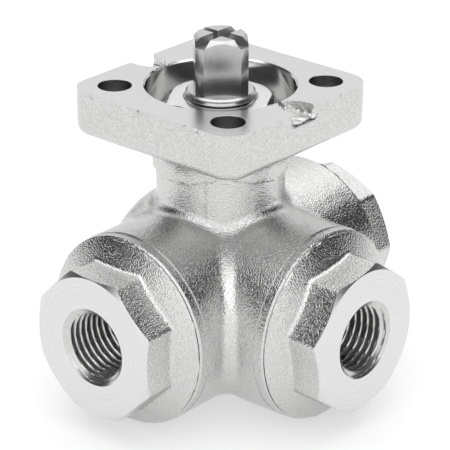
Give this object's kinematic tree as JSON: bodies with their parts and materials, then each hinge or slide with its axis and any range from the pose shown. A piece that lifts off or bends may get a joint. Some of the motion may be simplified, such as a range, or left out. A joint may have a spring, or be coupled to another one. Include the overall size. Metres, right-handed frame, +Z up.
{
  "type": "three way ball valve",
  "caption": "Compact three way ball valve: T-bored ball, threaded ports with octagonal screwed end caps, bare square stem and a square direct-mounting actuator pad.",
  "frame": {"origin": "centre of the mounting pad's top face, on the stem axis", "axes": "+Z up along the stem, +X along the run towards the right port, -Y towards the branch port"},
  "size_m": [0.065, 0.051, 0.0641],
  "materials": {
    "cast_steel": "blasted cast stainless steel, machined faces satin",
    "cap_steel": "blasted cast stainless steel, machined face satin",
    "polished_steel": "polished stainless steel",
    "stem_steel": "turned and milled stainless steel",
    "nut_steel": "machined stainless steel",
    "spring_steel": "ground spring steel",
    "ptfe": "white fluoropolymer",
    "seat_ptfe": "filled fluoropolymer, cream",
    "elastomer": "black fluoroelastomer"
  },
  "bodies": {
    "housing": {"body": "cast_steel", "end_cap_left": "cap_steel", "end_cap_right": "cap_steel", "end_cap_branch": "cap_steel", "cap_seal_left": "ptfe", "cap_seal_right": "ptfe", "cap_seal_branch": "ptfe", "seat_left": "seat_ptfe", "seat_right": "seat_ptfe", "seat_branch": "seat_ptfe", "seat_blank": "seat_ptfe", "thrust_washer": "ptfe", "packing_base_ring": "ptfe", "packing_v_ring_lower": "ptfe", "packing_v_ring_upper": "ptfe", "packing_top_ring": "ptfe", "gland_follower": "polished_steel"},
    "rotor": {"stem": "stem_steel", "ball": "polished_steel", "stem_o_ring": "elastomer", "disc_spring_lower": "spring_steel", "disc_spring_upper": "spring_steel", "gland_nut": "nut_steel"}
  },
  "joints": [
    {"name": "stem_turn", "type": "hinge", "parent": "housing", "child": "rotor", "pos_m": [0, 0, 0], "axis": [0, 0, 1], "continuous": true}
  ]
}
